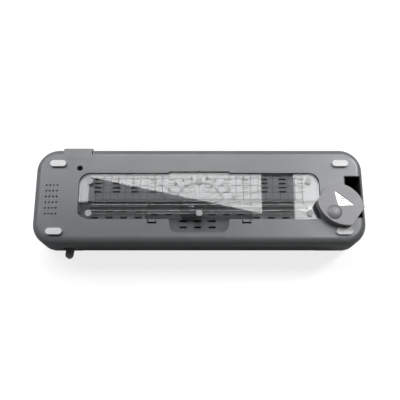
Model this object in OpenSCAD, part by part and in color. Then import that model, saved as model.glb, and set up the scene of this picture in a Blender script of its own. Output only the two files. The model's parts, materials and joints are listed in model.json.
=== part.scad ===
// Desktop thermal laminator lying on its top, with the paper trimmer stowed in its underside and
// the corner rounder laid on the underside beside its storage pocket. Millimetres, +Z up out of the
// underside, +X along the machine, +Y away from the front. Origin: centre of the resting face.

/* [Housing] */
// Width of the machine along X
body_w = 456; // [440:1:470]
// Depth of the machine along Y
body_d = 138; // [134:1:146]
// Height from the resting face to the underside face
body_h = 64; // [62:1:70]
// Corner radius of the housing in plan
corner_r = 31; // [26:1:34]
// Fillet around the underside, also the height of the underside shell
edge_r = 11; // [10:0.5:13]
// Radius of the rounded front edge of the top cover
front_r = 26; // [18:1:28]
// Wall thickness of the housing
wall = 2.4; // [2:0.1:3]

/* [Trimmer recess] */
// Half width of the recess
rec_x = 166.5; // [164:0.5:167]
// Near edge of the recess
rec_y0 = -33.8; // [-35:0.1:-33]
// Far edge of the recess
rec_y1 = 32.7; // [32:0.1:34]
// Boundary between the rail channel and the shallow floor
rec_ym = -5.3; // [-6:0.1:-5]
// Depth of the shallow floor
shallow = 8; // [7:0.5:9]
// Depth of the rail channel
channel = 16; // [15:0.5:17]
// Depth of the middle well and finger notch
well = 29; // [28:0.5:30]
// Half width of the middle well
well_x = 74.7; // [70:0.1:78]

/* [Rounder] */
// Width of the corner rounder
rd_w = 56.6; // [54:0.1:59]
// Length of the corner rounder over its bulged ends
rd_l = 53.6; // [52:0.1:58]
// Thickness of the corner rounder without its button
rd_h = 14.4; // [13:0.1:16]
// Turn of the corner rounder on the underside
rd_turn = -38; // [-45:1:-30]
// Position of the corner rounder on the underside
rd_x = 190.6; // [190:0.1:192]
// Position of the corner rounder on the underside
rd_y = -15.8; // [-16:0.1:-13]

/* [Film path] */
// Radius of the roller sleeves
roll_r = 8.8; // [8.6:0.1:8.8]
// Width of the slots the pouch passes through
slot_w = 328; // [310:1:330]

/* [Hidden] */
$fn = 48;
part_z = body_h - edge_r;
foot_r = 8;
face_z = body_h;
path_z = 22;
feet_x = 196;
feet_y = [-51.2, 45.7];
foot_h = 5.2;
foot_l = 22.1;
foot_w = 8.9;
pocket = [201.7, -30.8, 222.3, 27.1];
pocket_floor = 8;
liner_t = 1.2;
tray_t = 2;
step_x = 42;
step_d = 2;
notch_x = 28.3;
notch_y = -40.6;
notch_r = 12;
latch_x = 64.4;
latch_w = 10.2;
slot_l = 10;
slot_t = 2.7;
far_pitch = 25.7;
near_pitch = 20.3;
far_rows = [7.5, 13.6, 19.7, 25.8];
rail_rows = [-18.3, -27.5];
well_rows = [-19.4];
scoop_rows = [-29, -38.1];
vent = [-210.6, 14.9];
vent_pitch = [4.9, 8.2];
vent_r = 1.2;
boss_r = 4.5;
screw_hole = [-166.1, 39.7];
block_x = [-190, -147];
block_y = [53.4, 68.9];
block_z = 38;
inlet_x = -175;
inlet_z = 50;
plate_z = 58.2;
plate_t = 3;
rail_y = -16.25;
rail_l = 298;
rail_w = 8.6;
rail_z = 50.4;
strip_l = 299;
pad_x = 151.7;
pad_y = [-24.5, 21.5];
carr_x = -10.9;
carr_w = 28;
blade_z = 47.6;
blade_r = 10.2;
roll_a = 8;
roll_b = 44;
idle_y = 26;
roll_off = 9;
roll_l = 316;
top_z = path_z + roll_off;
low_z = path_z - roll_off;
mod_t = 1;
teeth = 18;
pin_teeth = 12;
pin_z = top_z + mod_t * (teeth + pin_teeth) / 2;
gear_x = -182;
gear_w = 6;
shaft_r = 3.5;
shaft_x = -186;
shaft_l = 362;
frame_x = 170.2;
frame_t = 1.5;
tab_x = 177.5;
tab_y = [-19, 26];
tab_l = 13;
tab_w = 12;
motor_y = 22;
motor_z = 40;
lever_x = -182;
lever_w = 10.5;
rel_y = -44;
rel_z = 11;
pipe_x = [-213, -205];
pipe_y = -30;
board_pins = [[-217, -38], [-194, -2]];
switch_x = 184.5;
btn_y = -15.1;
btn_r = 9.6;
rd_split = 7.1;
rd_skin = 1.6;
rd_posts = [[-21.5, -13], [21.5, -13], [-25, 11], [25, 11]];

// ---- helpers ----
module along_x(y, z) {
  translate([0, y, z]) rotate([90, 0, 90]) children();
}

module along_y(x, z) {
  translate([x, 0, z]) rotate([-90, 0, 0]) children();
}

module edge_profile(rc, r, h) {
  intersection() {
    square([rc, h]);
    union() {
      square([rc - r, h]);
      if (h > r) square([rc, h - r]);
      translate([rc - r, h - r]) circle(r, $fn = 96);
    }
  }
}

// a block with rounded plan corners and a fillet round its top edge
module dome(w, d, rc, r, h) {
  translate([-w / 2 + rc, -d / 2 + rc, 0]) cube([w - 2 * rc, d - 2 * rc, h]);
  for (sx = [0, 1])
    mirror([sx, 0, 0]) translate([w / 2 - rc, d / 2 - rc, 0])
      rotate([90, 0, 0]) linear_extrude(d - 2 * rc) edge_profile(rc, r, h);
  for (sy = [0, 1])
    mirror([0, sy, 0]) translate([-w / 2 + rc, d / 2 - rc, 0])
      rotate([90, 0, 90]) linear_extrude(w - 2 * rc) edge_profile(rc, r, h);
  for (sx = [0, 1], sy = [0, 1])
    mirror([sx, 0, 0]) mirror([0, sy, 0]) translate([w / 2 - rc, d / 2 - rc, 0])
      rotate_extrude(angle = 90, $fn = 96) edge_profile(rc, r, h);
}

// the volume of the top cover, shrunk by t; open ends run past the parting plane
module cover_form(t) {
  e = t > 0 ? 1 : 0;
  intersection() {
    translate([0, 0, part_z + e]) mirror([0, 0, 1])
      dome(body_w - 2 * t, body_d - 2 * t, corner_r - t, foot_r - t, part_z + e - t);
    front_cut(0, body_d / 2, front_r, t);
    intersection_for (s = [-1, 1], turn = [15:15:75])
      translate([s * (body_w / 2 - corner_r), -body_d / 2 + corner_r, 0])
        front_cut(s * turn, corner_r, foot_r + (front_r - foot_r) * pow(cos(turn), 2), t);
  }
}

// everything behind a wall at this distance that faces -Y when turn is 0, rounded off below
module front_cut(turn, distance, r, t) {
  rotate(turn) translate([-body_w, 0, 0]) rotate([90, 0, 90]) linear_extrude(2 * body_w) {
    translate([r - distance, t]) square([body_w, body_h]);
    translate([t - distance, r]) square([body_w, body_h]);
    translate([r - distance, r]) circle(r - t, $fn = 128);
  }
}

module under_form(t) {
  e = t > 0 ? 1 : 0;
  translate([0, 0, part_z - e])
    dome(body_w - 2 * t, body_d - 2 * t, corner_r - t, edge_r - t, edge_r - t + e);
}

module stadium(l, w) {
  square([l - w, w], center = true);
  for (s = [-1, 1]) translate([s * (l - w) / 2, 0]) circle(w / 2);
}

// plan of the trimmer recess, shrunk by g for the plate that lies in it
module recess_plan(g) {
  x = rec_x - g;
  y0 = rec_y0 + g;
  y1 = rec_y1 - g;
  polygon([[-x + 14.5, y0], [x, y0], [x, y1 - 15], [-x, y1 - 15], [-x, y0 + 9.5], [-x + 5, y0 + 3.6]]);
  translate([-x + 15, y1 - 16]) square([2 * x - 30, 16]);
  for (s = [-1, 1]) translate([s * (x - 15), y1 - 15]) circle(15, $fn = 64);
  translate([-step_x + g, y1 - 1]) square([2 * (step_x - g), step_d + 1]);
}

// plan of the finger notch, grown by g
module notch_plan(g) {
  r = notch_r + g;
  x = notch_x;
  y = notch_y;
  for (sx = [0, 1]) mirror([sx, 0, 0]) {
    translate([x, y]) circle(r, $fn = 64);
    translate([-1, y - r]) square([x + 1, r + notch_r]);
    polygon([[0, y], [x + r, y], [x + 13.2 + g, rec_y0 + 1], [0, rec_y0 + 1]]);
  }
}

module slot_rows(xs, ys) {
  for (x = xs, y = ys) translate([x, y]) square([slot_l, slot_t], center = true);
}

module gear(n, w, phase, bore) {
  k = [-0.27, -0.12, 0.12, 0.27];
  h = [-1.1, 0.8, 0.8, -1.1];
  difference() {
    rotate(phase) linear_extrude(w)
      polygon([for (i = [0:n - 1], j = [0:3])
        let (a = 360 / n * (i + k[j]), r = mod_t * (n / 2 + h[j])) [r * cos(a), r * sin(a)]]);
    if (bore > 0) translate([0, 0, -1]) cylinder(r = bore, h = w + 2);
  }
}

// a coil spring of half rings, each tilted so that its ends meet its neighbours' ends
module coil(r, wire, len, turns) {
  pitch = (len - 2 * wire) / turns;
  tilt = asin(pitch / (4 * r));
  for (i = [0:2 * turns - 1])
    translate([0, 0, wire + pitch * (i / 2 + 0.25)]) rotate([0, i % 2 == 0 ? tilt : -tilt, 0])
      rotate(180 * (i % 2)) rotate_extrude(angle = 180) translate([r, 0]) circle(wire, $fn = 24);
}

module screw(len, r, head_r, head_h) {
  cylinder(r = r, h = len + 0.01);
  translate([0, 0, len]) difference() {
    cylinder(r = head_r, h = head_h);
    translate([-head_r * 0.7, -0.4, head_h - 0.8]) cube([head_r * 1.4, 0.8, 1]);
    translate([-0.4, -head_r * 0.7, head_h - 0.8]) cube([0.8, head_r * 1.4, 1]);
  }
}

module at_rounder(z) {
  translate([rd_x, rd_y, face_z + 0.1 + z]) rotate(rd_turn) children();
}

// ---- housing ----
module bottom_shell() {
  color("lightslategray") {
    shell_body();
    ledges();
  }
}

module shell_body() {
  difference() {
    union() {
      difference() {
        under_form(0);
        under_form(wall);
      }
      tray_block(rec_ym - tray_t, rec_y1 + step_d + 3, shallow, rec_x);
      tray_block(rec_y0 - tray_t, rec_ym + tray_t, channel, rec_x);
      tray_block(rec_y0 - tray_t, rec_ym + tray_t, well, well_x);
      translate([0, 0, face_z - well - tray_t]) linear_extrude(well + 0.5) notch_plan(tray_t);
      translate([screw_hole[0], screw_hole[1], 46.1]) cylinder(r = 5.5, h = 16);
      for (sx = [-1, 1], y = feet_y)
        translate([sx * feet_x, y, part_z]) cylinder(r = boss_r, h = edge_r - 2);
    }
    translate([0, 0, face_z - shallow]) linear_extrude(shallow + 1) intersection() {
      recess_plan(0);
      translate([-body_w, rec_ym]) square([2 * body_w, body_d]);
    }
    translate([0, 0, face_z - channel]) linear_extrude(channel + 1) intersection() {
      recess_plan(0);
      translate([-body_w, rec_y0 - 1]) square([2 * body_w, rec_ym - rec_y0 + 1.01]);
    }
    translate([-well_x, rec_y0, face_z - well]) cube([2 * well_x, rec_ym - rec_y0, well]);
    translate([0, 0, face_z - well]) linear_extrude(well + 1) notch_plan(0);
    floor_slots();
    pocket_cut();
    vent_cut();
    latch_cut();
    cord_block_room();
    translate([-0.8, rec_y1 + step_d - 1, face_z - shallow]) cube([1.6, 2.4, shallow + 1]);
    translate([screw_hole[0], screw_hole[1], 48]) cylinder(r = 3.9, h = 20);
    translate([screw_hole[0], screw_hole[1], 45]) cylinder(r = 1.7, h = 5);
    for (sx = [-1, 1], y = feet_y) {
      translate([sx * feet_x, y, face_z - 1.2]) linear_extrude(3) stadium(foot_l + 0.3, foot_w + 0.3);
      translate([sx * feet_x, y, part_z + 2.5]) cylinder(r = 3.2, h = 20);
      translate([sx * feet_x, y, part_z - 1]) cylinder(r = 1.7, h = 5);
    }
  }
}

// the solid that a recess of this depth and half width is cut from
module tray_block(y0, y1, depth, x) {
  translate([-x - tray_t, y0, face_z - depth - tray_t])
    cube([2 * (x + tray_t), y1 - y0, depth + tray_t - 1]);
}

// narrow ledges at both ends that carry the stowed plate
module ledges() {
  for (sx = [-1, 1])
    translate([sx * (rec_x - 1.5) - 1.5, -2, face_z - shallow]) cube([3, 18, 2.1]);
}

module floor_slots() {
  cols = [for (i = [-5.5:5.5]) i * far_pitch + 0.3];
  side = [for (i = [0:3]) well_x + 4.9 + i * near_pitch];
  mid = [for (i = [-3:3]) -2.4 + i * near_pitch];
  scoop = [for (i = [2:4]) mid[i]];
  translate([0, 0, face_z - shallow - 3]) linear_extrude(4) slot_rows(cols, far_rows);
  translate([0, 0, face_z - channel - 3]) linear_extrude(4)
    slot_rows(concat(side, [for (x = side) -x - 5]), rail_rows);
  translate([0, 0, face_z - well - 3]) linear_extrude(4) slot_rows(mid, well_rows);
  translate([0, 0, face_z - well - 3]) linear_extrude(4) slot_rows(scoop, scoop_rows);
}

module pocket_cut() {
  g = liner_t + 0.1;
  translate([pocket[0] - g, pocket[1] - g, part_z - 1])
    cube([pocket[2] - pocket[0] + 2 * g, pocket[3] - pocket[1] + 2 * g, edge_r + 2]);
}

module vent_cut() {
  for (i = [0:3], j = [0:5])
    translate([vent[0] + vent_pitch[0] * i, vent[1] - vent_pitch[1] * j, face_z - wall - 1])
      cylinder(r = vent_r, h = wall + 2, $fn = 16);
}

// a slot round three sides of each latch tab of the recess edge
module latch_cut() {
  for (s = [-1, 1])
    translate([s * latch_x, rec_y0 - 0.2, face_z - wall - 4]) difference() {
      translate([-latch_w / 2 - 1.1, -5.8, 0]) cube([latch_w + 2.2, 5.8, wall + 5]);
      translate([-latch_w / 2, -3.4, -1]) cube([latch_w, 8, wall + 7]);
    }
}

module cord_block_room() {
  g = 0.1;
  translate([block_x[0] - g, block_y[0] - g, block_z - g])
    cube([block_x[1] - block_x[0] + 2 * g, 30, body_h]);
}

module top_cover() {
  color("slategray") difference() {
    union() {
      difference() {
        cover_form(0);
        cover_form(wall);
      }
      for (sx = [-1, 1], y = feet_y) {
        z0 = y < 0 ? 4.5 : 1.5;
        translate([sx * feet_x, y, z0]) cylinder(r = boss_r, h = part_z - z0);
      }
      for (p = board_pins) translate([p[0], p[1], 1.5]) cylinder(r = 2.6, h = 28.4);
      for (sx = [-1, 1], y = tab_y) translate([sx * tab_x, y, 1.5]) cylinder(r = 3.5, h = 1.5);
    }
    translate([-slot_w / 2, -body_d, path_z - 5]) cube([slot_w, body_d, 10]);
    translate([-slot_w / 2, 50, path_z - 4]) cube([slot_w, body_d, 8]);
    translate([lever_x - 6.5, -body_d / 2 - 2, 14.5]) cube([13, 8, 26.5]);
    translate([switch_x - 8.2, body_d / 2 - 8, 23.8]) cube([16.4, 16, 16.4]);
    for (x = pipe_x) translate([x, pipe_y, -1]) cylinder(r = 2.1, h = 5);
    for (sx = [-1, 1], y = feet_y) translate([sx * feet_x, y, 30]) cylinder(r = 1.5, h = 30);
    for (sx = [-1, 1], y = tab_y) translate([sx * tab_x, y, 1.2]) cylinder(r = 1.3, h = 5);
    cord_block_room();
  }
}

module pocket_liner() {
  p = pocket;
  t = liner_t;
  r = edge_r - 0.1;
  color("black") intersection() {
    translate([0, 60, 0]) rotate([90, 0, 0]) linear_extrude(120) {
      translate([150, 0]) square([body_w / 2 - edge_r - 150, part_z + r]);
      translate([150, 0]) square([body_w / 2 - 150 - 0.1, part_z]);
      translate([body_w / 2 - edge_r, part_z]) circle(r, $fn = 96);
    }
    difference() {
      translate([p[0] - t, p[1] - t, pocket_floor - t])
        cube([p[2] - p[0] + 2 * t, p[3] - p[1] + 2 * t, body_h]);
      translate([p[0], p[1], pocket_floor]) cube([p[2] - p[0], p[3] - p[1], body_h]);
    }
  }
}

module cord_block() {
  x0 = block_x[0];
  x1 = block_x[1];
  y0 = block_y[0];
  y1 = block_y[1];
  color("lightslategray") difference() {
    translate([0, 0, block_z]) linear_extrude(body_h - block_z)
      polygon([[x0, y0], [x1, y0], [x1, y1 - 3], [x1 - 2.7, y1], [x0 + 1, y1], [x0, y1 - 1]]);
    translate([x1 - 3.4, y1 - 8.8, body_h - 3]) cube([1.4, 5, 4]);
    along_y(inlet_x, inlet_z) translate([0, 0, 40]) cylinder(r = 6.1, h = 50);
  }
}

module cord_grommet() {
  color("black") along_y(inlet_x, inlet_z) difference() {
    union() {
      translate([0, 0, block_y[0]]) cylinder(r = 6, h = block_y[1] - block_y[0] + 1.2);
      translate([0, 0, block_y[1] + 0.1]) cylinder(r = 7.4, h = 1.6);
    }
    translate([0, 0, 40]) cylinder(r = 3.6, h = 50);
  }
}

module foot(sx, y) {
  color("white") translate([sx * feet_x, y, face_z - 1.1]) linear_extrude(foot_h) stadium(foot_l, foot_w);
}

module foot_near_left() {
  foot(-1, feet_y[0]);
}

module foot_near_right() {
  foot(1, feet_y[0]);
}

module foot_far_left() {
  foot(-1, feet_y[1]);
}

module foot_far_right() {
  foot(1, feet_y[1]);
}

module housing_screws() {
  color("silver") {
    for (sx = [-1, 1], y = feet_y) translate([sx * feet_x, y, part_z + 2.6 - 14]) screw(14, 1.4, 2.8, 2);
    translate([screw_hole[0], screw_hole[1], 48.1 - 7]) screw(7, 1.4, 3, 2);
  }
}

// ---- roller frame ----
module frame_plate() {
  difference() {
    union() {
      linear_extrude(frame_t) polygon([[-54, 12], [-46, 5], [58, 5], [58, 36], [52, 36], [47, 45.9],
        [-2, 45.9], [-2, 41], [-54, 41]]);
      for (y = tab_y) translate([y - tab_w / 2, 3, 0]) cube([tab_w, 2.1, frame_t]);
    }
    for (y = [roll_a, roll_b], z = [low_z, top_z]) translate([y, z, -1]) cylinder(r = 5.1, h = 4);
    translate([rel_y, rel_z, -1]) cylinder(r = 3.1, h = 4);
  }
}

module frame_tabs(s) {
  for (y = tab_y) difference() {
    translate([s > 0 ? frame_x : -frame_x - tab_l, y - tab_w / 2, 3]) cube([tab_l, tab_w, frame_t]);
    translate([s * tab_x, y, 2]) cylinder(r = 1.6, h = 4);
  }
}

module frame_left() {
  color("gainsboro") {
    translate([-frame_x - frame_t, 0, 0]) rotate([90, 0, 90]) frame_plate();
    frame_tabs(-1);
    difference() {
      translate([-frame_x - frame_t, 34, 44.4]) cube([11.5, 11.5, 1.5]);
      translate([screw_hole[0], screw_hole[1], 40]) cylinder(r = 1.6, h = 8);
    }
  }
}

module frame_right() {
  color("gainsboro") {
    translate([frame_x, 0, 0]) rotate([90, 0, 90]) frame_plate();
    frame_tabs(1);
  }
}

module frame_screws() {
  color("silver")
    for (sx = [-1, 1], y = tab_y) translate([sx * tab_x, y, 1.4]) screw(3.2, 1.2, 2.4, 1.6);
}

module roller_bushings() {
  color("goldenrod")
    for (s = [-1, 1], y = [roll_a, roll_b], z = [low_z, top_z])
      translate([s * (frame_x + frame_t / 2), 0, 0]) along_x(y, z) difference() {
        union() {
          translate([0, 0, -1.6]) cylinder(r = 5.05, h = 3.2);
          translate([0, 0, s > 0 ? -1.7 : 0.8]) cylinder(r = 6, h = 0.9);
        }
        translate([0, 0, -3]) cylinder(r = shaft_r + 0.06, h = 6);
      }
}

module pressure_springs() {
  color("silver")
    for (s = [-1, 1], y = [roll_a, roll_b])
      translate([s * 166, y, 2.6]) coil(2.6, 0.45, low_z - shaft_r - 2.9, 3);
}

module shaft(y, z) {
  color("silver") translate([shaft_x, 0, 0]) along_x(y, z) difference() {
    cylinder(r = shaft_r, h = shaft_l);
    translate([2.6, -5, -1]) cube([5, 10, 10]);
  }
}

module sleeve(y, z) {
  color("firebrick") translate([-roll_l / 2, 0, 0]) along_x(y, z) difference() {
    cylinder(r = roll_r, h = roll_l);
    translate([0, 0, -1]) cylinder(r = shaft_r + 0.05, h = roll_l + 4);
  }
}

module wheel(y, z, phase) {
  color("ivory") translate([gear_x, 0, 0]) along_x(y, z) gear(teeth, gear_w, phase, shaft_r + 0.05);
}

module drive_shaft_a() {
  shaft(roll_a, top_z);
}

module drive_sleeve_a() {
  sleeve(roll_a, top_z);
}

module drive_gear_a() {
  wheel(roll_a, top_z, 0);
}

module drive_shaft_b() {
  shaft(roll_b, top_z);
}

module drive_sleeve_b() {
  sleeve(roll_b, top_z);
}

module drive_gear_b() {
  wheel(roll_b, top_z, 0);
}

module pinch_shaft_a() {
  shaft(roll_a, low_z);
}

module pinch_sleeve_a() {
  sleeve(roll_a, low_z);
}

module pinch_gear_a() {
  wheel(roll_a, low_z, 180 / teeth);
}

module pinch_shaft_b() {
  shaft(roll_b, low_z);
}

module pinch_sleeve_b() {
  sleeve(roll_b, low_z);
}

module pinch_gear_b() {
  wheel(roll_b, low_z, 180 / teeth);
}

module idler_gear() {
  color("ivory") translate([gear_x, 0, 0]) along_x(idle_y, top_z) gear(teeth, gear_w, 180 / teeth, 2.06);
}

module motor_case() {
  color("silver") {
    translate([-216, 0, 0]) along_x(motor_y, motor_z) cylinder(r = 16, h = 20);
    translate([-196.01, 0, 0]) along_x(motor_y, motor_z) cylinder(r = 5, h = 3);
  }
}

module motor_bracket() {
  color("gainsboro") {
    difference() {
      translate([-192.8, 4, 22]) cube([1.5, 38, 36]);
      translate([-195, 0, 0]) along_x(motor_y, motor_z) cylinder(r = 5.3, h = 6);
      translate([-195, 0, 0]) along_x(idle_y, pin_z) cylinder(r = 2.2, h = 6);
    }
    translate([-191.4, 0, 0]) along_x(idle_y, top_z) cylinder(r = 2, h = 19.6);
    translate([-191.4, 37.5, 41]) cube([19.6, 3, 3]);
  }
}

module motor_pinion() {
  color("ivory") {
    translate([gear_x, 0, 0]) along_x(idle_y, pin_z) gear(pin_teeth, gear_w, 180 / pin_teeth, 0);
    translate([-195.9, 0, 0]) along_x(idle_y, pin_z) cylinder(r = 2, h = 13.91);
  }
}

module heat_plates() {
  color("silver")
    for (z = [path_z + 2, path_z - 7]) {
      translate([-161, 18.5, z]) cube([322, 15, 5]);
      for (sx = [0, 1]) mirror([sx, 0, 0]) translate([160, 22, z + 1]) cube([10.1, 8, 3]);
    }
}

module thermostat() {
  color("beige") {
    translate([60, 26, path_z + 7.1]) cylinder(r = 6, h = 5);
    translate([53, 24, path_z + 12.2]) cube([14, 4, 1.2]);
  }
}

module guide_pair(y0, y1, gap, flare) {
  for (s = [0, 1])
    translate([0, 0, path_z]) mirror([0, 0, s]) translate([-162, 0, 0]) rotate([90, 0, 90])
      linear_extrude(324) polygon([[y0, gap + flare], [y1, gap], [y1, gap + 1.2], [y0, gap + flare + 1.2]]);
}

module guide_lugs(y, w, z) {
  for (sx = [0, 1], sz = [0, 1])
    translate([0, y, path_z]) mirror([sx, 0, 0]) mirror([0, 0, sz])
      translate([161, 0, z]) cube([9.1, w, 4]);
}

module entry_guides() {
  color("dimgray") {
    guide_pair(-63, -4, 1.6, 3);
    guide_lugs(-30, 10, 3);
  }
}

module exit_guides() {
  color("dimgray") {
    guide_pair(66, 56, 1.6, 2);
    guide_lugs(56.2, 1.7, 2);
  }
}

module release_lever() {
  color("lightslategray") difference() {
    union() {
      translate([lever_x - lever_w / 2, 0, 0]) along_x(rel_y, rel_z) cylinder(r = 6, h = lever_w);
      translate([lever_x - lever_w / 2, 0, 0]) rotate([90, 0, 90]) linear_extrude(lever_w)
        polygon([[rel_y - 3, rel_z - 5], [rel_y + 1, rel_z + 5.9], [-76, 27], [-76, 21.6]]);
      translate([lever_x, -75.3, 21.6]) cylinder(r = lever_w / 2, h = 5.4);
    }
    translate([-190, 0, 0]) along_x(rel_y, rel_z) cylinder(r = 3.05, h = 20);
    translate([lever_x - 3.2, -74.2, 23.4]) cube([6.4, 14, 8]);
  }
}

module release_shaft() {
  color("silver") {
    translate([-188.5, 0, 0]) along_x(rel_y, rel_z) cylinder(r = 3, h = 364.5);
    for (x = [-168.5, 165.5])
      translate([x, 0, 0]) along_x(rel_y, rel_z) difference() {
        translate([1.6, 0, 0]) cylinder(r = 5.2, h = 3);
        translate([0, 0, -1]) cylinder(r = 3.05, h = 5);
      }
  }
}

module control_board() {
  color("darkgreen") difference() {
    translate([-221, -42, 30]) cube([31, 44, 1.6]);
    for (p = board_pins) translate([p[0], p[1], 29]) cylinder(r = 1.6, h = 4);
  }
}

module board_parts() {
  color("dimgray") {
    translate([-218, -30, 31.7]) cube([16, 12, 14]);
    translate([-199, -36, 31.7]) cube([7, 14, 8]);
    for (y = [-12, -4]) translate([-212, y, 31.7]) cylinder(r = 3.2, h = 11);
    translate([-201, -14, 31.7]) cube([8, 10, 3]);
  }
}

module light_pipes() {
  color("lightyellow")
    for (x = pipe_x) {
      translate([x, pipe_y, 0.3]) cylinder(r = 2, h = 28);
      translate([x, pipe_y, 2.5]) cylinder(r = 3, h = 1);
    }
}

module power_switch() {
  color("black") difference() {
    union() {
      translate([switch_x - 8, body_d / 2 - 18, 24]) cube([16, 18.1, 16]);
      translate([switch_x - 9.5, body_d / 2 + 0.05, 22.5]) cube([19, 1.4, 19]);
    }
    translate([switch_x - 5.5, body_d / 2 - 8, 26]) cube([11, 20, 12]);
  }
}

module power_rocker() {
  color("dimgray") translate([switch_x - 5.3, 0, 0]) rotate([90, 0, 90]) linear_extrude(10.6) difference() {
    polygon([[62.5, 30.5], [69, 27], [72, 27.2], [70.6, 32], [71.4, 36.6], [69, 36.8], [62.5, 33.5]]);
    translate([66, 32]) circle(0.6);
  }
}

// ---- trimmer ----
module trimmer_plate() {
  color("lightblue") difference() {
    translate([0, 0, plate_z]) linear_extrude(plate_t) recess_plan(0.8);
    translate([-strip_l / 2 - 0.5, rail_y - 1.1, plate_z - 1]) cube([strip_l + 1, 2.2, 2]);
  }
}

module trimmer_pads() {
  color("white")
    for (x = [-1, 0, 1] * pad_x, y = pad_y)
      translate([x, y, plate_z + plate_t + 0.02]) difference() {
        cylinder(r = 4.4, h = 1.2);
        translate([0, 0, 0.8]) cylinder(r = 0.8, h = 1);
      }
}

module trimmer_rail() {
  color("lightcyan") difference() {
    translate([-rail_l / 2, rail_y - rail_w / 2, rail_z]) cube([rail_l, rail_w, 6.8]);
    translate([-rail_l / 2 - 1, rail_y - rail_w / 2 + 1.2, rail_z + 1.6])
      cube([rail_l + 2, rail_w - 2.4, 8]);
    translate([-rail_l / 2 + 11, rail_y - 0.9, rail_z - 0.4]) cube([rail_l - 22, 1.8, 3]);
  }
}

module rail_mounts() {
  color("lightcyan")
    for (sx = [0, 1]) mirror([sx, 0, 0]) {
      translate([149.1, rail_y - 5.6, 50.2]) cube([10, 11.2, 7.9]);
      translate([159, rail_y, 50.2]) cylinder(r = 5.6, h = 7.9);
    }
}

module cutting_strip() {
  color("darkslategray") translate([-strip_l / 2, rail_y - 1, plate_z + 0.05]) cube([strip_l, 2, 0.9]);
}

module cutter_carriage() {
  w = carr_w;
  color("gray") translate([carr_x - w / 2, rail_y, 0]) difference() {
    union() {
      translate([0, -9, 35.7]) cube([w, 18, 14.3]);
      for (s = [-1, 1]) translate([0, s * 5.5 - 0.8, 49.9]) cube([w, 1.6, 6]);
    }
    translate([w / 2 - 11, -0.8, 37.1]) cube([22, 1.6, 14]);
    translate([w / 2, -10, blade_z]) rotate([-90, 0, 0]) cylinder(r = 1.56, h = 20);
    for (s = [-1, 1])
      translate([w / 2 + s * (w / 2 + 3.6), -10, 42]) rotate([-90, 0, 0]) cylinder(r = 6, h = 20);
  }
}

module cutter_blade() {
  color("silver") translate([carr_x, rail_y - 0.2, blade_z]) rotate([-90, 0, 0]) difference() {
    cylinder(r = blade_r, h = 0.4, $fn = 64);
    translate([0, 0, -1]) cylinder(r = 1.56, h = 3);
  }
}

module cutter_axle() {
  color("silver") translate([carr_x, rail_y - 8.8, blade_z]) rotate([-90, 0, 0]) cylinder(r = 1.5, h = 17.6);
}

// ---- corner rounder ----
module rounder_plan(g) {
  k = (rd_w * rd_w / 4 + 144) / 24;
  intersection() {
    square([rd_w - 2 * g, rd_l], center = true);
    translate([0, rd_l / 2 - k]) circle(k - g, $fn = 128);
    translate([0, k - rd_l / 2]) circle(k - g, $fn = 128);
  }
}

function corner(c, r, a0, a1) = [for (i = [0:4]) let (a = a0 + (a1 - a0) * i / 4) c + r * [cos(a), sin(a)]];

module window_plan() {
  translate([-1, 2.3]) polygon(concat(corner([0, -3], 2.8, 225, 315), corner([14.9, 7], 0.7, -45, 90),
    corner([-14.9, 7], 0.7, 90, 225)));
}

module rounder_base() {
  color("silver") at_rounder(0) difference() {
    union() {
      difference() {
        linear_extrude(rd_split - 0.1) rounder_plan(0);
        translate([0, 0, rd_skin]) linear_extrude(rd_split) rounder_plan(rd_skin);
      }
      for (p = rd_posts) translate([p[0], p[1], 1]) cylinder(r = 2.6, h = 4.4);
      translate([0, btn_y, 1]) cylinder(r = 2.2, h = 4);
      for (x = [-18, 18]) translate([x - 1, -4, 1]) cube([2, 18, 4.4]);
    }
    for (p = rd_posts) translate([p[0], p[1], -1]) {
      cylinder(r = 1.3, h = 10);
      cylinder(r = 2.1, h = 2.4);
    }
  }
}

module rounder_cover() {
  color("silver") at_rounder(rd_split) difference() {
    union() {
      difference() {
        linear_extrude(rd_h - rd_split) rounder_plan(0);
        translate([0, 0, -1]) linear_extrude(rd_h - rd_split) rounder_plan(rd_skin);
      }
      for (p = rd_posts) translate([p[0], p[1], 0]) cylinder(r = 2.6, h = 6.5);
      translate([0, 0, 1.3]) linear_extrude(5.2) difference() {
        square([46, 30], center = true);
        square([38, 24], center = true);
        translate([-14, -20]) square([28, 40]);
      }
    }
    translate([0, 0, -1]) linear_extrude(12) window_plan();
    translate([0, btn_y, -1]) cylinder(r = btn_r + 0.2, h = 12);
    translate([-21, 5, -1]) cube([42, 30, 2.3]);
    for (p = rd_posts) translate([p[0], p[1], -1]) cylinder(r = 1.1, h = 6);
  }
}

module rounder_die() {
  color("lightgray") at_rounder(5.5) linear_extrude(1.5) difference() {
    intersection() {
      rounder_plan(2.2);
      translate([-20.5, -24]) square([41, 46]);
    }
    translate([0, btn_y]) circle(5.6);
    translate([-6.3, btn_y + 5.2]) square([12.6, 4.2]);
    for (p = rd_posts) translate(p) circle(2.8);
  }
}

// bright spring plate that shows in the window
module rounder_plate() {
  y0 = btn_y + btn_r + 0.3;
  color("whitesmoke") at_rounder(12.3) difference() {
    translate([-18.8, y0, 0]) cube([37.6, 11.8 - y0, 1.05]);
    translate([-1.5, 6.1, 0.6]) difference() {
      cylinder(r = 2.4, h = 1);
      translate([0, 0, -1]) cylinder(r = 1.6, h = 3);
    }
    translate([7.8, 7.9, 0.6]) cylinder(r = 0.8, h = 1);
  }
}

module rounder_button() {
  color("silver") at_rounder(0) {
    translate([0, btn_y, 10.4]) difference() {
      intersection() {
        cylinder(r = btn_r, h = 6.4);
        translate([0, 0, 6.4 - 18]) sphere(r = 18, $fn = 96);
      }
      translate([0, 0, -1]) cylinder(r = 7.4, h = 3.4);
    }
    translate([0, btn_y, 8.6]) difference() {
      cylinder(r = 3.6, h = 4.6);
      translate([0, 0, -1]) cylinder(r = 2.7, h = 4.4);
    }
  }
}

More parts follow.
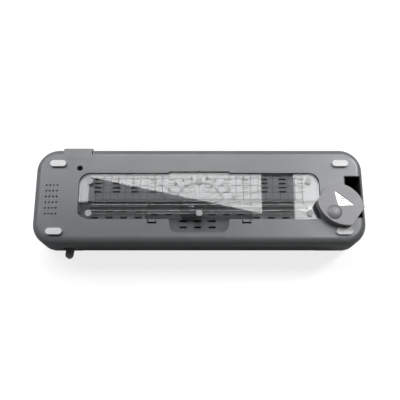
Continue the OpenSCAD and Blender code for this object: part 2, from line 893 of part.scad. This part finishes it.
module rounder_punch() {
  color("gray") at_rounder(0) translate([-6, btn_y + 5.5, 7.3]) cube([12, 3.6, 3]);
}

module rounder_spring() {
  color("silver") at_rounder(1.7) translate([0, btn_y, 0]) coil(3.9, 0.4, 6.7, 4);
}

module rounder_screws() {
  color("silver")
    at_rounder(0) for (p = rd_posts) translate([p[0], p[1], 1.3]) mirror([0, 0, 1]) translate([0, 0, -10])
      screw(10, 1, 1.9, 1.1);
}

bottom_shell();
top_cover();
pocket_liner();
cord_block();
cord_grommet();
foot_near_left();
foot_near_right();
foot_far_left();
foot_far_right();
housing_screws();
frame_left();
frame_right();
frame_screws();
roller_bushings();
pressure_springs();
drive_shaft_a();
drive_sleeve_a();
drive_gear_a();
drive_shaft_b();
drive_sleeve_b();
drive_gear_b();
pinch_shaft_a();
pinch_sleeve_a();
pinch_gear_a();
pinch_shaft_b();
pinch_sleeve_b();
pinch_gear_b();
idler_gear();
motor_case();
motor_bracket();
motor_pinion();
heat_plates();
thermostat();
entry_guides();
exit_guides();
release_lever();
release_shaft();
control_board();
board_parts();
light_pipes();
power_switch();
power_rocker();
trimmer_plate();
trimmer_pads();
trimmer_rail();
rail_mounts();
cutting_strip();
cutter_carriage();
cutter_blade();
cutter_axle();
rounder_base();
rounder_cover();
rounder_die();
rounder_plate();
rounder_button();
rounder_punch();
rounder_spring();
rounder_screws();
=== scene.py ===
"""Looks for the laminator that lies on its top, with its paper trimmer stowed.

The corner rounder lies on the underside, partly over its own pocket.
"""
import json
import math

import bpy
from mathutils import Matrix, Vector


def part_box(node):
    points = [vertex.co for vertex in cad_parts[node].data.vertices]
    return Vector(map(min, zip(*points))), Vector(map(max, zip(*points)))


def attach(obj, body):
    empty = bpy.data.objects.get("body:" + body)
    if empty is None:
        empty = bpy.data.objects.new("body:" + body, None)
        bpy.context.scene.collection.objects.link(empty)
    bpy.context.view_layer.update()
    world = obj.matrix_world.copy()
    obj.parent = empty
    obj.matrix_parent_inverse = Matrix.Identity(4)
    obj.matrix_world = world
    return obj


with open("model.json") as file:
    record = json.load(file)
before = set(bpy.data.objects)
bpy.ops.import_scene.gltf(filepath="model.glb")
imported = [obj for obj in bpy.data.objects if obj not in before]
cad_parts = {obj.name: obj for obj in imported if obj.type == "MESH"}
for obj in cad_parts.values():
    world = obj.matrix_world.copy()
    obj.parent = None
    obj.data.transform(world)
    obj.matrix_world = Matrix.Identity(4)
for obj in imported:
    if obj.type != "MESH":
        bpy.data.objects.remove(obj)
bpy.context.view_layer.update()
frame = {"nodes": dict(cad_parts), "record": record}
MM = 0.001

# ---- places taken from the frame ----
plate_low, plate_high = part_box("trimmer_plate")
rail_low, rail_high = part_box("trimmer_rail")
carriage_low, carriage_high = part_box("cutter_carriage")
FACE_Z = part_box("pocket_liner")[1].z
PRINT_Z = plate_high.z + 0.02 * MM
CUT_Y = (rail_low.y + rail_high.y) / 2


# ---- node helpers ----
class Nodes:
    """A material's node tree, with short calls for the nodes used here."""

    def __init__(self, name):
        self.material = bpy.data.materials.new(name)
        self.material.use_nodes = True
        self.tree = self.material.node_tree
        self.tree.nodes.clear()
        self.place = self.add("ShaderNodeTexCoord").outputs["Object"]

    def add(self, kind, **values):
        """A new node, with its properties set, or its sockets' constants where it has no such property."""
        node = self.tree.nodes.new(kind)
        for key, value in values.items():
            if hasattr(node, key):
                setattr(node, key, value)
            else:
                node.inputs[key.replace("_", " ")].default_value = value
        return node

    def link(self, output, socket):
        self.tree.links.new(output, socket)

    def noise(self, scale, detail=2.0, rough=0.5, stretch=(1, 1, 1)):
        """Noise in the object's own metres; a stretch below 1 draws it out along that axis."""
        place = self.place
        if stretch != (1, 1, 1):
            mapping = self.add("ShaderNodeMapping")
            mapping.inputs["Scale"].default_value = stretch
            self.link(place, mapping.inputs["Vector"])
            place = mapping.outputs["Vector"]
        node = self.add("ShaderNodeTexNoise", Scale=scale, Detail=detail, Roughness=rough)
        self.link(place, node.inputs["Vector"])
        return node.outputs["Fac"]

    def between(self, factor, low, high, start=0.3, end=0.7):
        """The factor's range from start to end, spread from low to high."""
        node = self.add("ShaderNodeMapRange", From_Min=start, From_Max=end, To_Min=low, To_Max=high)
        self.link(factor, node.inputs["Value"])
        return node.outputs["Result"]

    def blend(self, factor, first, second):
        """A colour between two constant ones; a Mix node keeps its colour sockets at these places."""
        node = self.add("ShaderNodeMix", data_type="RGBA")
        self.link(factor, node.inputs[0])
        node.inputs[6].default_value = (*first, 1.0)
        node.inputs[7].default_value = (*second, 1.0)
        return node.outputs[2]

    def bump(self, height, strength, distance, soft_edge=0.0):
        """A normal from a height, over edges rounded by soft_edge."""
        node = self.add("ShaderNodeBump", Strength=strength, Distance=distance)
        self.link(height, node.inputs["Height"])
        if soft_edge:
            edge = self.add("ShaderNodeBevel", samples=4, Radius=soft_edge)
            self.link(edge.outputs["Normal"], node.inputs["Normal"])
        return node.outputs["Normal"]

    def finish(self, shader):
        out = self.add("ShaderNodeOutputMaterial")
        self.link(shader, out.inputs["Surface"])
        return self.material


# Depths of the surface textures, and how widely each kind of material rounds its sharp edges
GRAIN_DEPTH = 0.02 * MM
MOULD_EDGE = 0.4 * MM
BRUSH_GRAIN = 0.2 * MM
BRUSH_DEPTH = 0.01 * MM
METAL_EDGE = 0.15 * MM
SKIN_DEPTH = 0.03 * MM
RUBBER_EDGE = 0.5 * MM
WAVE_DEPTH = 0.025 * MM


def shade(colour, factor):
    """The colour made lighter or darker, and kept within range."""
    return tuple(min(1.0, channel * factor) for channel in colour)


def principled(nodes, colour, roughness, normal, **constants):
    """A Principled shader: linked colour, roughness and normal, and constant values for the rest."""
    shader = nodes.add("ShaderNodeBsdfPrincipled", **constants)
    nodes.link(colour, shader.inputs["Base Color"])
    nodes.link(roughness, shader.inputs["Roughness"])
    nodes.link(normal, shader.inputs["Normal"])
    return shader.outputs["BSDF"]


def moulded(name, colour, rough, grain=0.35 * MM, mottle=0.05, **constants):
    """Injection-moulded plastic: fine spark grain, faint flow mottling and uneven gloss."""
    n = Nodes(name)
    flow = n.noise(22, 4)
    tint = n.blend(n.between(flow, 0, 1), shade(colour, 1 - mottle), shade(colour, 1 + mottle))
    gloss = n.between(n.noise(60, 3), rough - 0.05, rough + 0.05)
    texture = n.noise(1 / grain, 3, 0.6)
    return n.finish(principled(n, tint, gloss, n.bump(texture, 0.5, GRAIN_DEPTH, MOULD_EDGE), **constants))


def metal(name, colour, rough, brush=(1, 1, 1), mottle=0.08):
    """Metal with drawn or ground lines along the axis whose stretch is smallest, and faint staining."""
    n = Nodes(name)
    lines = n.noise(1 / BRUSH_GRAIN, 2, 0.6, brush)
    stain = n.blend(n.between(n.noise(90, 4), 0, 1), shade(colour, 1 - mottle), shade(colour, 1 + mottle))
    gloss = n.between(lines, rough - 0.07, rough + 0.1)
    return n.finish(principled(n, stain, gloss, n.bump(lines, 0.4, BRUSH_DEPTH, METAL_EDGE), Metallic=1.0))


def rubber(name, colour, rough):
    """Soft rubber with a fine orange-peel skin and a little dust."""
    n = Nodes(name)
    dust = n.between(n.noise(140, 5, 0.65), 0, 1, 0.45, 0.75)
    tint = n.blend(dust, colour, shade(colour, 0.93))
    gloss = n.between(n.noise(300, 3), rough - 0.06, rough + 0.1)
    skin = n.noise(1800, 3)
    normal = n.bump(skin, 0.35, SKIN_DEPTH, RUBBER_EDGE)
    return n.finish(principled(n, tint, gloss, normal, Sheen_Weight=0.1))


def clear_plastic(name, tint, index=1.5):
    """Clear plastic: what is behind shows through, and the polished skin mirrors the softboxes."""
    n = Nodes(name)
    wave = n.bump(n.noise(14, 2), 0.2, WAVE_DEPTH)
    scratches = n.between(n.noise(700, 5, 0.7), 0.02, 0.04, 0.5, 0.8)
    gloss = n.add("ShaderNodeBsdfPrincipled", Metallic=1.0)
    gloss.inputs["Base Color"].default_value = (*tint, 1.0)
    n.link(scratches, gloss.inputs["Roughness"])
    n.link(wave, gloss.inputs["Normal"])
    through = n.add("ShaderNodeBsdfTransparent")
    through.inputs["Color"].default_value = (*tint, 1.0)
    skin = n.add("ShaderNodeFresnel", IOR=index)
    mix = n.add("ShaderNodeMixShader")
    n.link(skin.outputs["Fac"], mix.inputs["Fac"])
    n.link(through.outputs["BSDF"], mix.inputs[1])
    n.link(gloss.outputs["BSDF"], mix.inputs[2])
    return n.finish(mix.outputs["Shader"])


# ---- materials ----
UNDER_GREY = (0.182, 0.192, 0.202)
MATERIALS = {
    "shell_under": moulded("under_plastic", UNDER_GREY, 0.34, Specular_IOR_Level=0.65),
    "shell_top": moulded("cover_plastic", (0.15, 0.156, 0.166), 0.42),
    # Painted shade: the pocket liner is near-black to stand for the deep shade inside the pocket; the real
    # pocket walls are the shell's grey.
    "liner_black": moulded("pocket_painted_shade", (0.016, 0.016, 0.015), 0.6, mottle=0.3,
                           Specular_IOR_Level=0.4),
    "rubber_black": rubber("grommet_rubber", (0.02, 0.02, 0.02), 0.6),
    "foot_white": rubber("foot_rubber", (0.90, 0.905, 0.91), 0.5),
    "screw_steel": metal("screw_steel", (0.55, 0.55, 0.56), 0.35),
    "frame_steel": metal("frame_steel", (0.60, 0.61, 0.63), 0.38, (1, 0.2, 1)),
    "bushing_bronze": metal("bushing_bronze", (0.60, 0.42, 0.22), 0.45),
    "spring_steel": metal("spring_steel", (0.50, 0.51, 0.53), 0.3),
    "shaft_steel": metal("shaft_steel", (0.62, 0.63, 0.65), 0.22, (0.05, 1, 1)),
    "sleeve_silicone": rubber("silicone", (0.035, 0.03, 0.03), 0.45),
    "gear_plastic": moulded("acetal", (0.74, 0.72, 0.64), 0.4, mottle=0.03,
                            Subsurface_Weight=0.05),
    "motor_steel": metal("motor_can", (0.50, 0.51, 0.52), 0.4),
    "heater_aluminium": metal("heater_aluminium", (0.70, 0.71, 0.72), 0.4, (0.04, 1, 1)),
    "thermostat_ceramic": moulded("thermostat_body", (0.62, 0.57, 0.47), 0.6),
    "guide_plastic": moulded("guide_plastic", (0.03, 0.03, 0.033), 0.5),
    "board_green": moulded("board_resist", (0.02, 0.11, 0.045), 0.25, grain=1.2 * MM,
                           Coat_Weight=0.5),
    "board_black": moulded("package_plastic", (0.02, 0.02, 0.022), 0.3),
    "lens_clear": clear_plastic("light_pipe", (0.95, 0.95, 0.95)),
    "switch_black": moulded("switch_plastic", (0.012, 0.012, 0.013), 0.25),
    "trimmer_clear": clear_plastic("acrylic", (0.985, 0.99, 0.992), 1.58),
    "pad_white": rubber("pad_silicone", (0.50, 0.51, 0.52), 0.45),
    "strip_dark": moulded("strip_plastic", (0.03, 0.032, 0.035), 0.55),
    "carriage_grey": moulded("carriage_plastic", (0.10, 0.105, 0.115), 0.4),
    "blade_steel": metal("bright_steel", (0.82, 0.83, 0.85), 0.2, (1, 0.3, 1)),
    "rounder_silver": moulded("rounder_plastic", (0.285, 0.281, 0.297), 0.40),
    "plate_bright": metal("bright_plate", (0.80, 0.80, 0.81), 0.5, (1, 0.3, 1), mottle=0.03),
    "lever_grey": moulded("lever_plastic", (0.78, 0.79, 0.80), 0.35),
    "print_ink": moulded("print_ink", (0.02, 0.021, 0.024), 0.5, mottle=0.15),
}

for entry in frame["record"]["subparts"]:
    node = frame["nodes"][entry["node"]]
    for slot in node.material_slots:
        slot.material = MATERIALS[entry["material_slot"]]


# ---- softened edges on the CAD's small pieces ----
def soften(node_name, width, segments=3):
    """Rounds a CAD node's sharp edges with a modifier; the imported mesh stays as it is."""
    bevel = frame["nodes"][node_name].modifiers.new("edge", "BEVEL")
    bevel.width = width
    bevel.segments = segments
    bevel.limit_method = "ANGLE"
    bevel.angle_limit = math.radians(32)
    bevel.use_clamp_overlap = True


for corner in ("near_left", "near_right", "far_left", "far_right"):
    soften("foot_" + corner, 1.0 * MM)
soften("rounder_cover", 0.5 * MM)
soften("rounder_button", 0.3 * MM)
soften("release_lever", 0.6 * MM)
soften("cord_block", 0.8 * MM)
soften("trimmer_pads", 0.25 * MM, 2)
soften("trimmer_plate", 0.6 * MM, 2)
soften("rail_mounts", 1.4 * MM)
soften("power_rocker", 0.4 * MM, 2)


# ---- printed scales on the trimmer plate ----
# Pitch of the grid's columns, which is also ten strokes of the ruler, and of its rows
COLUMN = 10.2 * MM
ROW = 10 * MM
# Width of the grid's strokes and of the fine strokes, and how far the ink stands up
INK = 0.4 * MM
FINE = 0.16 * MM
INK_DEPTH = 0.03 * MM
# Half width of the print, and the far and near ends of the grid
SCALE_X = 143 * MM
GRID_TOP = plate_high.y - 8.6 * MM
GRID_LOW = GRID_TOP - 3 * ROW
# Centre of the protractor, the radius where its rays start and the radius of its degree strokes
FAN = Vector((0.0, CUT_Y + 1.5 * MM))
FAN_HUB = 12 * MM
FAN_ARC = 33 * MM


def direction(degrees):
    """Unit vector in the plane of the plate, turned from +X towards +Y."""
    angle = math.radians(degrees)
    return Vector((math.cos(angle), math.sin(angle)))


class Ink:
    """Collects thin raised strips of ink into one mesh."""

    def __init__(self):
        self.points = []
        self.faces = []

    def strip(self, start, end, width=INK):
        start, end = Vector(start[:2]), Vector(end[:2])
        along = (end - start).normalized()
        side = Vector((-along.y, along.x)) * width / 2
        base = len(self.points)
        for z in (PRINT_Z, PRINT_Z + INK_DEPTH):
            for corner in (start - side, end - side, end + side, start + side):
                self.points.append((corner.x, corner.y, z))
        a, b, c, d, e, f, g, h = range(base, base + 8)
        self.faces += [(d, c, b, a), (e, f, g, h), (a, b, f, e), (b, c, g, f), (c, d, h, g), (d, a, e, h)]

    def arc(self, centre, radius, start, end, width, steps=24):
        ring = [centre + radius * direction(start + (end - start) * i / steps) for i in range(steps + 1)]
        for first, second in zip(ring, ring[1:]):
            self.strip(first, second, width)

    def piece(self, name, body):
        mesh = bpy.data.meshes.new(name)
        mesh.from_pydata(self.points, [], self.faces)
        mesh.materials.append(MATERIALS["print_ink"])
        piece = bpy.data.objects.new(name, mesh)
        bpy.context.scene.collection.objects.link(piece)
        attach(piece, body)
        return piece


def grid_lines():
    """Grid over the part of the plate beyond the cutting line, with two heavy columns at each end.

    A comb of four thin strokes stands on its near line at each side of the protractor.
    """
    ink = Ink()
    last = int(SCALE_X / COLUMN)
    inside_protractor = 4
    for i in range(-last, last + 1):
        if abs(i) > inside_protractor:
            ink.strip((i * COLUMN, GRID_LOW), (i * COLUMN, GRID_TOP + 4 * MM))
    thin = INK * 0.6
    for side in (-1, 1):
        for heavy in (last - 1, last):
            x = side * heavy * COLUMN
            ink.strip((x, CUT_Y + 4.5 * MM), (x, GRID_LOW))
            ink.strip((x - INK / 2, GRID_LOW), (x - INK / 2, GRID_TOP), thin)
        for tooth in range(4):
            x = side * (45.6 + 2.8 * tooth) * MM
            ink.strip((x, GRID_LOW - 1 * MM), (x, GRID_LOW + 9 * MM), thin)
        for row in range(3):
            y = GRID_TOP - row * ROW
            ink.strip((side * 14 * MM, y), (side * SCALE_X, y))
        ink.strip((0, GRID_LOW), (side * SCALE_X, GRID_LOW), INK * 1.6)
    return ink


def ruler_ticks():
    """Millimetre ruler along the far edge of the plate, with longer strokes every 5 and 10."""
    ink = Ink()
    edge = plate_high.y - 2.6 * MM
    last = 142
    for i in range(-last, last + 1):
        length = 2.6 if i % 10 == 0 else 1.9 if i % 5 == 0 else 1.2
        x = i * COLUMN / 10
        ink.strip((x, edge), (x, edge - length * MM), FINE)
    return ink


def protractor():
    """Fan of rays from a small arc on the cutting line, and degree strokes on a large arc."""
    ink = Ink()
    top = GRID_TOP + 3.5 * MM
    for degrees in range(15, 180, 15):
        ray = direction(degrees)
        reach = min(118 * MM, (top - FAN.y) / ray.y)
        ink.strip(FAN + ray * FAN_HUB, FAN + ray * reach, INK * 0.8)
    first = 18
    for degree in range(first, 181 - first):
        ray = direction(degree)
        length = (4.0 if degree % 5 == 0 else 2.4) * MM
        ink.strip(FAN + ray * FAN_ARC, FAN + ray * (FAN_ARC + length), FINE)
    ink.arc(FAN, FAN_HUB, 0, 180, FINE)
    ink.arc(FAN, FAN_ARC, first, 180 - first, FINE)
    return ink


def numeral(text, place, turn, size):
    """One number, mirrored as a print on the plate's far side reads from here."""
    curve = bpy.data.curves.new("number_" + text, "FONT")
    curve.body = text
    curve.size = size
    curve.align_x = "CENTER"
    curve.align_y = "CENTER"
    curve.extrude = INK_DEPTH / 2
    piece = bpy.data.objects.new("number", curve)
    bpy.context.scene.collection.objects.link(piece)
    piece.location = (place.x, place.y, PRINT_Z + INK_DEPTH / 2)
    piece.rotation_euler = (0, 0, turn)
    piece.scale = (-1, 1, 1)
    return piece


def join_numerals(pieces, name):
    """Turns the numbers into one mesh piece."""
    graph = bpy.context.evaluated_depsgraph_get()
    points, faces = [], []
    for piece in pieces:
        mesh = bpy.data.meshes.new_from_object(piece.evaluated_get(graph))
        base = len(points)
        points += [tuple(piece.matrix_world @ v.co) for v in mesh.vertices]
        faces += [tuple(base + i for i in reversed(p.vertices)) for p in mesh.polygons]
        bpy.data.objects.remove(piece)
    mesh = bpy.data.meshes.new(name)
    mesh.from_pydata(points, [], faces)
    mesh.materials.append(MATERIALS["print_ink"])
    joined = bpy.data.objects.new(name, mesh)
    bpy.context.scene.collection.objects.link(joined)
    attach(joined, "trimmer")
    return joined


def angle_numbers():
    """Numbers every 15 degrees round the protractor, counted from both sides; none at 90."""
    made = []
    for degrees in range(15, 180, 15):
        if degrees != 90:
            ray = direction(degrees)
            place = FAN + ray * (41 * MM + 8.5 * MM * ray.x ** 2)
            value = min(degrees, 180 - degrees)
            made.append(numeral(str(value), place, math.radians(degrees - 90), 4.4 * MM))
    return made


def ruler_numbers():
    """Centimetre numbers along the ruler, left out where the protractor is."""
    y = plate_high.y - 6.6 * MM
    middle = 14
    made = []
    for i in range(1, 2 * middle):
        x = (i - middle) * COLUMN
        if abs(x) > 44 * MM:
            made.append(numeral(str(i), Vector((x + 1.6 * MM, y)), 0, 2.3 * MM))
    return made


prints = [
    grid_lines().piece("print_grid", "trimmer"),
    ruler_ticks().piece("print_ruler", "trimmer"),
    protractor().piece("print_protractor", "trimmer"),
]
number_objects = angle_numbers() + ruler_numbers()
bpy.context.view_layer.update()
prints.append(join_numerals(number_objects, "print_numbers"))


# ---- moulded details of the trimmer ----
# How far the details are sunk into what carries them, and the radius that closes a hub at its axis
SUNK = 0.05 * MM
AXIS = 0.02 * MM


def mesh_piece(name, points, faces, slot, body):
    """A smooth piece from its points and faces, in the finish of a material slot, riding on a body."""
    mesh = bpy.data.meshes.new(name)
    mesh.from_pydata(points, [], faces)
    mesh.materials.append(MATERIALS[slot])
    for face in mesh.polygons:
        face.use_smooth = True
    piece = bpy.data.objects.new(name, mesh)
    bpy.context.scene.collection.objects.link(piece)
    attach(piece, body)


def half_round(name, y, half_length, radius, base_z):
    """A clear half-round rib of the trimmer along X with rounded ends, standing on base_z."""
    around, along = 8, 6
    quarter = [math.pi / 2 * i / (along - 1) for i in range(along)]
    stations = [(-half_length - radius * math.cos(turn), radius * math.sin(turn)) for turn in quarter]
    stations += [(half_length + radius * math.sin(turn), radius * math.cos(turn)) for turn in quarter]
    smallest = 0.02 * radius
    points = [(x, y + max(reach, smallest) * math.cos(math.pi * k / around),
               base_z + max(reach, smallest) * math.sin(math.pi * k / around))
              for x, reach in stations for k in range(around + 1)]
    size = around + 1
    gaps = range(len(stations) - 1)
    faces = [(i * size + k, i * size + k + 1, (i + 1) * size + k + 1, (i + 1) * size + k)
             for i in gaps for k in range(around)]
    faces += [(i * size + around, i * size, (i + 1) * size, (i + 1) * size + around) for i in gaps]
    faces += [tuple(reversed(range(size))), tuple(range(len(points) - size, len(points)))]
    mesh_piece(name, points, faces, "trimmer_clear", "trimmer")


def turned(name, centre, profile, slot, body, steps=40):
    """A ring or hub turned about a vertical axis from its closed (radius, height) profile."""
    points = [(centre.x + radius * math.cos(2 * math.pi * i / steps),
               centre.y + radius * math.sin(2 * math.pi * i / steps), centre.z + height)
              for i in range(steps) for radius, height in profile]
    size = len(profile)
    faces = [(i * size + k, (i + 1) % steps * size + k, (i + 1) % steps * size + (k + 1) % size,
              i * size + (k + 1) % size) for i in range(steps) for k in range(size)]
    mesh_piece(name, points, faces, slot, body)


def rail_ribs():
    """Ribs of the guide rail on the plate: one over each wall of the rail, and a finer one outside each."""
    half = (rail_high.x - rail_low.x) / 2
    wall = (rail_high.y - rail_low.y) / 2
    top = plate_high.z - SUNK
    for side, word in ((-1, "near"), (1, "far")):
        half_round("rail_rib_" + word, CUT_Y + side * wall, half, 0.7 * MM, top)
        half_round("rail_bead_" + word, CUT_Y + side * (wall + 4.2 * MM), half - 2 * MM, 0.4 * MM, top)


def carriage_hub():
    """Bright hub ring and its dark pin on top of the cutter carriage, seen through the plate."""
    centre = Vector(((carriage_low.x + carriage_high.x) / 2, CUT_Y, carriage_high.z - SUNK))
    ring = [(2.5 * MM, 0), (4.0 * MM, 0), (4.0 * MM, 0.7 * MM), (3.6 * MM, 1.0 * MM),
            (2.9 * MM, 1.0 * MM), (2.5 * MM, 0.6 * MM)]
    pin = [(AXIS, 0), (1.5 * MM, 0), (1.5 * MM, 0.5 * MM), (1.1 * MM, 0.8 * MM), (AXIS, 0.8 * MM)]
    turned("carriage_hub_ring", centre, ring, "blade_steel", "carriage")
    turned("carriage_hub_pin", centre, pin, "carriage_grey", "carriage")


def window_rivets():
    """Dark hollow rivet and small rivet on the bright plate in the rounder's window."""
    low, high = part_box("rounder_plate")
    button_low, button_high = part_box("rounder_button")
    middle = (low + high) / 2
    away = middle - (button_low + button_high) / 2
    away.z = 0
    away.normalize()
    across = Vector((away.y, -away.x, 0))
    base = middle + Vector((0, 0, high.z - middle.z - 2 * SUNK))
    hollow = [(1.5 * MM, 0), (2.5 * MM, 0), (2.5 * MM, 0.5 * MM), (2.2 * MM, 0.7 * MM),
              (1.8 * MM, 0.7 * MM), (1.5 * MM, 0.5 * MM)]
    small = [(AXIS, 0), (0.9 * MM, 0), (0.9 * MM, 0.3 * MM), (0.6 * MM, 0.5 * MM), (AXIS, 0.5 * MM)]
    for name, far, right, profile in (("window_rivet_hollow", 2.8, -1.5, hollow),
                                      ("window_rivet_small", 4.6, 7.8, small)):
        turned(name, base + away * far * MM + across * right * MM, profile, "carriage_grey", "rounder")


rail_ribs()
carriage_hub()
window_rivets()


# ---- floor, light and camera ----
def floor():
    """Pale floor that the camera sees as a lit table, while little of its light reaches the object."""
    n = Nodes("floor")
    tint = n.blend(n.between(n.noise(2, 2), 0, 1), (0.46, 0.46, 0.46), (0.48, 0.48, 0.48))
    rough = n.between(n.noise(40, 3), 0.85, 0.95)
    shader = n.add("ShaderNodeBsdfPrincipled", Emission_Color=(1.0, 1.0, 1.0, 1.0))
    n.link(tint, shader.inputs["Base Color"])
    n.link(rough, shader.inputs["Roughness"])
    seen = n.add("ShaderNodeLightPath").outputs["Is Camera Ray"]
    n.link(n.between(seen, 0.0, 0.80, 0.0, 1.0), shader.inputs["Emission Strength"])
    material = n.finish(shader.outputs["BSDF"])
    mesh = bpy.data.meshes.new("floor")
    half = 6.0
    corners = [(-half, -half, 0), (half, -half, 0), (half, half, 0), (-half, half, 0)]
    mesh.from_pydata(corners, [], [(0, 1, 2, 3)])
    mesh.materials.append(material)
    plane = bpy.data.objects.new("floor", mesh)
    bpy.context.scene.collection.objects.link(plane)


def softbox(name, outline, radiance, fill=False):
    """A flat softbox overhead, lit evenly over its outline and unseen by the camera.

    Glossy surfaces mirror every softbox; only one that is a fill also lights what is below it.
    """
    material = bpy.data.materials.new(name)
    material.use_nodes = True
    tree = material.node_tree
    tree.nodes.clear()
    glow = tree.nodes.new("ShaderNodeEmission")
    out = tree.nodes.new("ShaderNodeOutputMaterial")
    glow.inputs["Strength"].default_value = radiance
    tree.links.new(glow.outputs["Emission"], out.inputs["Surface"])
    mesh = bpy.data.meshes.new(name)
    corners = [(x, y, SOFTBOX_Z) for x, y in outline]
    mesh.from_pydata(corners, [], [tuple(reversed(range(len(corners))))])
    mesh.materials.append(material)
    panel = bpy.data.objects.new(name, mesh)
    bpy.context.scene.collection.objects.link(panel)
    panel.visible_camera = False
    panel.visible_diffuse = fill


def key_light():
    """Soft key from the right and the far side, 41 degrees above the horizon."""
    data = bpy.data.lights.new("key", "SUN")
    data.angle = math.radians(16)
    data.energy = 1.9
    lamp = bpy.data.objects.new("key", data)
    bpy.context.scene.collection.objects.link(lamp)
    lamp.rotation_euler = Vector((0.60, 0.45, 0.66)).to_track_quat("Z", "Y").to_euler()


def world_light():
    """Weak studio fill, brightest from the far side and a little brighter from the left."""
    world = bpy.data.worlds.new("studio")
    bpy.context.scene.world = world
    world.use_nodes = True
    tree = world.node_tree
    tree.nodes.clear()
    place = tree.nodes.new("ShaderNodeTexCoord")
    lean = tree.nodes.new("ShaderNodeVectorMath")
    lean.operation = "DOT_PRODUCT"
    lean.inputs[1].default_value = (-0.35, 1.0, 0.0)
    ramp = tree.nodes.new("ShaderNodeMapRange")
    background = tree.nodes.new("ShaderNodeBackground")
    out = tree.nodes.new("ShaderNodeOutputWorld")
    ramp.interpolation_type = "SMOOTHSTEP"
    for key, value in (("From Min", -0.6), ("From Max", 0.7), ("To Min", 0.03), ("To Max", 0.17)):
        ramp.inputs[key].default_value = value
    background.inputs["Color"].default_value = (0.97, 0.985, 1.0, 1.0)
    tree.links.new(place.outputs["Generated"], lean.inputs[0])
    tree.links.new(lean.outputs["Value"], ramp.inputs["Value"])
    tree.links.new(ramp.outputs["Result"], background.inputs["Strength"])
    tree.links.new(background.outputs["Background"], out.inputs["Surface"])


def camera():
    """The picture's view: over the middle of the underside, 73.6 degrees above the horizon."""
    data = bpy.data.cameras.new("camera")
    data.lens = 53.1
    data.sensor_width = 36
    eye = bpy.data.objects.new("camera", data)
    bpy.context.scene.collection.objects.link(eye)
    distance = 0.809
    tilt = math.radians(16.4)
    aim = Vector((0.0011, -0.0066, FACE_Z))
    eye.location = aim + distance * Vector((0, -math.sin(tilt), math.cos(tilt)))
    eye.rotation_euler = (tilt, 0, 0)
    bpy.context.scene.camera = eye


floor()
world_light()
key_light()
# Height of the softboxes, the line between the left one and the far one, and their far edge
SOFTBOX_Z = FACE_Z + 0.80
SOFTBOX_SPLIT = -0.312
SOFTBOX_FAR = 0.90
softbox("left_softbox", [(-1.20, 0.225), (SOFTBOX_SPLIT, 0.225), (SOFTBOX_SPLIT, SOFTBOX_FAR),
                         (-1.20, SOFTBOX_FAR)], radiance=3.6, fill=True)
softbox("far_softbox", [(SOFTBOX_SPLIT, 0.300), (0.174, 0.192), (0.174, SOFTBOX_FAR),
                        (SOFTBOX_SPLIT, SOFTBOX_FAR)], radiance=4.9, fill=True)
softbox("right_softbox", [(0.265, -0.05), (0.90, -0.05), (0.90, SOFTBOX_FAR), (0.265, SOFTBOX_FAR)],
        radiance=5.2)
camera()
bpy.context.scene.view_settings.view_transform = "Standard"
